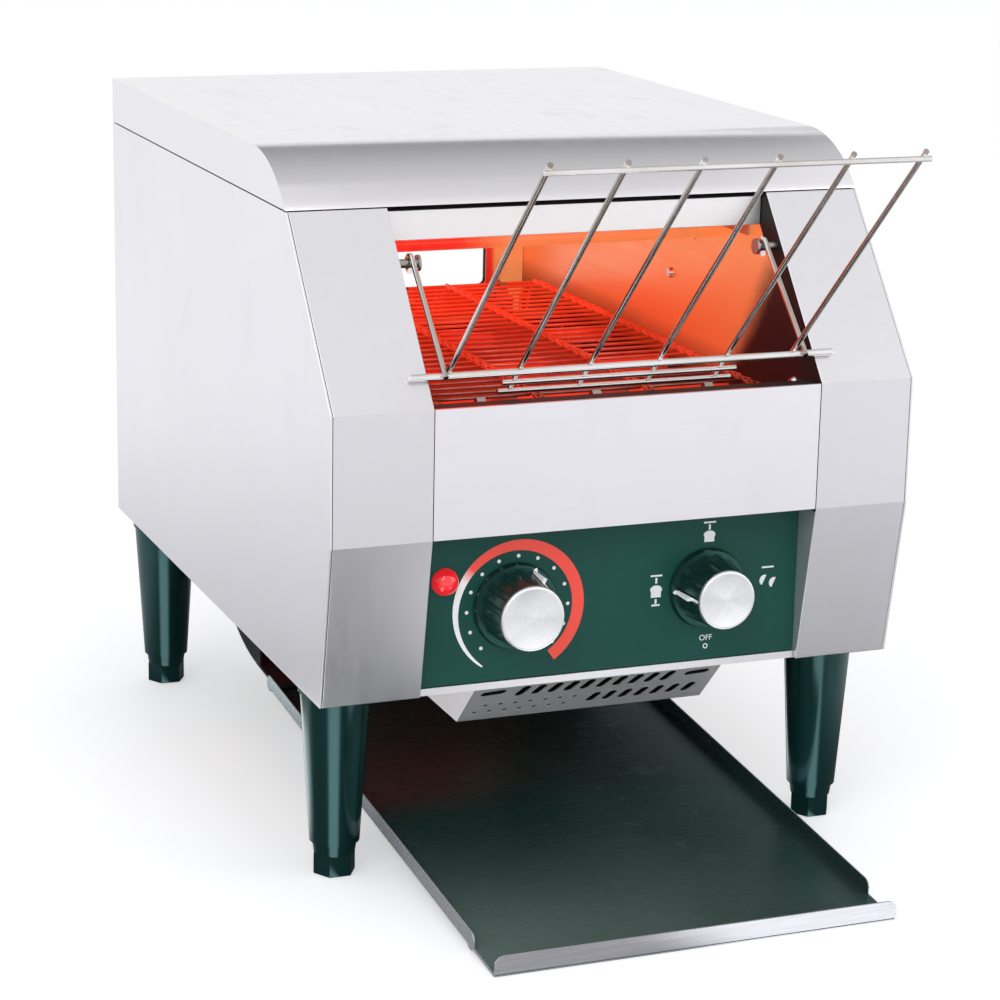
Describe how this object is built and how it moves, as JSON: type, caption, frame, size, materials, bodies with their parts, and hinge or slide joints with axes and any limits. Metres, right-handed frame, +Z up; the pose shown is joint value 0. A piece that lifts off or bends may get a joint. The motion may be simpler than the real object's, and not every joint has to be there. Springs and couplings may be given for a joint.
{
  "type": "conveyor toaster",
  "caption": "Countertop conveyor toaster with a sloping wire bread rack, wire belt between heating tubes, return chute, pull-out tray and four screw-footed legs.",
  "frame": {"origin": "on the counter, under the middle of the footprint from the bread rack's upper rod to the cord gland", "axes": "+Z up, +Y from the front (bread rack, knobs and tray lip) to the rear panel, +X to the right as seen from the front"},
  "size_m": [0.34, 0.583, 0.4188],
  "materials": {
    "cover_steel": "satin brushed stainless sheet",
    "plain_steel": "mill-finish stainless sheet",
    "chamber_steel": "heat-tinted steel sheet",
    "dark_steel": "dark heat-resistant coating",
    "panel_green": "dark green satin enamel",
    "glowing_quartz": "quartz tube, glowing",
    "ceramic": "glazed steatite",
    "belt_wire": "heat-stained stainless wire",
    "bright_steel": "bright turned steel",
    "bronze": "sintered bronze",
    "motor_casting": "grey cast housing",
    "tray_steel": "polished stainless, dark reflections",
    "rack_chrome": "bright chromed wire",
    "fan_plastic": "moulded black",
    "knob_plastic": "gloss black-green moulding",
    "knob_cap_aluminium": "spun brushed aluminium",
    "switch_plastic": "moulded phenolic",
    "lamp_red": "clear red dome",
    "gland_plastic": "moulded nylon",
    "leg_gloss": "gloss black-green leg"
  },
  "bodies": {
    "body": {"lid": "cover_steel", "side_panel_left": "cover_steel", "side_panel_right": "cover_steel", "front_pillar_left": "cover_steel", "front_pillar_right": "cover_steel", "front_panel": "cover_steel", "rear_panel": "cover_steel", "bottom_pan": "plain_steel", "control_panel": "panel_green", "inlet_header": "plain_steel", "inner_wall_left": "chamber_steel", "inner_wall_right": "chamber_steel", "chamber_rear_wall": "chamber_steel", "ceiling_reflector": "chamber_steel", "lower_reflector": "chamber_steel", "heat_shield": "plain_steel", "upper_heaters": "glowing_quartz", "lower_heaters": "glowing_quartz", "heater_caps": "ceramic", "conveyor_belt": "belt_wire", "belt_rails": "plain_steel", "shaft_bushes": "bronze", "drive_chain": "dark_steel", "gearmotor": "motor_casting", "motor_bracket": "plain_steel", "toast_chute": "dark_steel", "tray_ledge": "dark_steel", "rack_pegs": "bright_steel", "vent_box": "plain_steel", "fan_frame": "fan_plastic", "speed_controller": "switch_plastic", "selector_switch": "switch_plastic", "lamp_lens": "lamp_red", "lamp_holder": "switch_plastic", "terminal_block": "switch_plastic", "cord_gland": "gland_plastic", "leg_front_left": "leg_gloss", "leg_front_right": "leg_gloss", "leg_rear_left": "leg_gloss", "leg_rear_right": "leg_gloss", "fasteners": "bright_steel"},
    "tray": {"tray": "tray_steel"},
    "rack": {"loading_rack": "rack_chrome"},
    "speed_dial": {"speed_knob": "knob_plastic", "speed_knob_cap": "knob_cap_aluminium"},
    "selector_dial": {"selector_knob": "knob_plastic", "selector_knob_cap": "knob_cap_aluminium"},
    "drive_axle": {"drive_shaft": "bright_steel", "drive_wheels": "bright_steel", "driven_sprocket": "dark_steel"},
    "idler_axle": {"idler_shaft": "bright_steel", "idler_wheels": "bright_steel"},
    "motor_output": {"motor_shaft": "bright_steel", "motor_sprocket": "dark_steel"},
    "fan": {"fan_rotor": "fan_plastic"},
    "screw_foot_front_left": {"foot_front_left": "leg_gloss"},
    "screw_foot_front_right": {"foot_front_right": "leg_gloss"},
    "screw_foot_rear_left": {"foot_rear_left": "leg_gloss"},
    "screw_foot_rear_right": {"foot_rear_right": "leg_gloss"}
  },
  "joints": [
    {"name": "tray_slide", "type": "slide", "parent": "body", "child": "tray", "axis": [0, -1, 0], "range_m": [0, 0.15]},
    {"name": "rack_swing", "type": "hinge", "parent": "body", "child": "rack", "pos_m": [0, -0.10755, 0.339], "axis": [-1, 0, 0], "range_deg": [0, 80]},
    {"name": "speed_turn", "type": "hinge", "parent": "body", "child": "speed_dial", "pos_m": [-0.0575, -0.15055, 0.156], "axis": [0, 1, 0], "range_deg": [-172, 118]},
    {"name": "selector_turn", "type": "hinge", "parent": "body", "child": "selector_dial", "pos_m": [0.0575, -0.15055, 0.156], "axis": [0, 1, 0], "range_deg": [-90, 180]},
    {"name": "drive_spin", "type": "hinge", "parent": "body", "child": "drive_axle", "pos_m": [0, 0.19945, 0.23985], "axis": [-1, 0, 0], "continuous": true, "deforming": ["conveyor_belt", "drive_chain"]},
    {"name": "idler_spin", "type": "hinge", "parent": "body", "child": "idler_axle", "pos_m": [0, -0.12554, 0.23985], "axis": [-1, 0, 0], "continuous": true},
    {"name": "motor_spin", "type": "hinge", "parent": "body", "child": "motor_output", "pos_m": [0.1254, 0.11623, 0.18158], "axis": [-1, 0, 0], "continuous": true},
    {"name": "fan_spin", "type": "hinge", "parent": "body", "child": "fan", "pos_m": [0, -0.04854, 0.115], "axis": [0, 0, 1], "continuous": true},
    {"name": "foot_screw_front_left", "type": "slide", "parent": "body", "child": "screw_foot_front_left", "axis": [0, 0, -1], "range_m": [0, 0.015]},
    {"name": "foot_screw_front_right", "type": "slide", "parent": "body", "child": "screw_foot_front_right", "axis": [0, 0, -1], "range_m": [0, 0.015]},
    {"name": "foot_screw_rear_left", "type": "slide", "parent": "body", "child": "screw_foot_rear_left", "axis": [0, 0, -1], "range_m": [0, 0.015]},
    {"name": "foot_screw_rear_right", "type": "slide", "parent": "body", "child": "screw_foot_rear_right", "axis": [0, 0, -1], "range_m": [0, 0.015]}
  ],
  "couplings": [
    {"joint": "idler_spin", "follows": "drive_spin", "ratio": 1},
    {"joint": "motor_spin", "follows": "drive_spin", "ratio": 1}
  ]
}
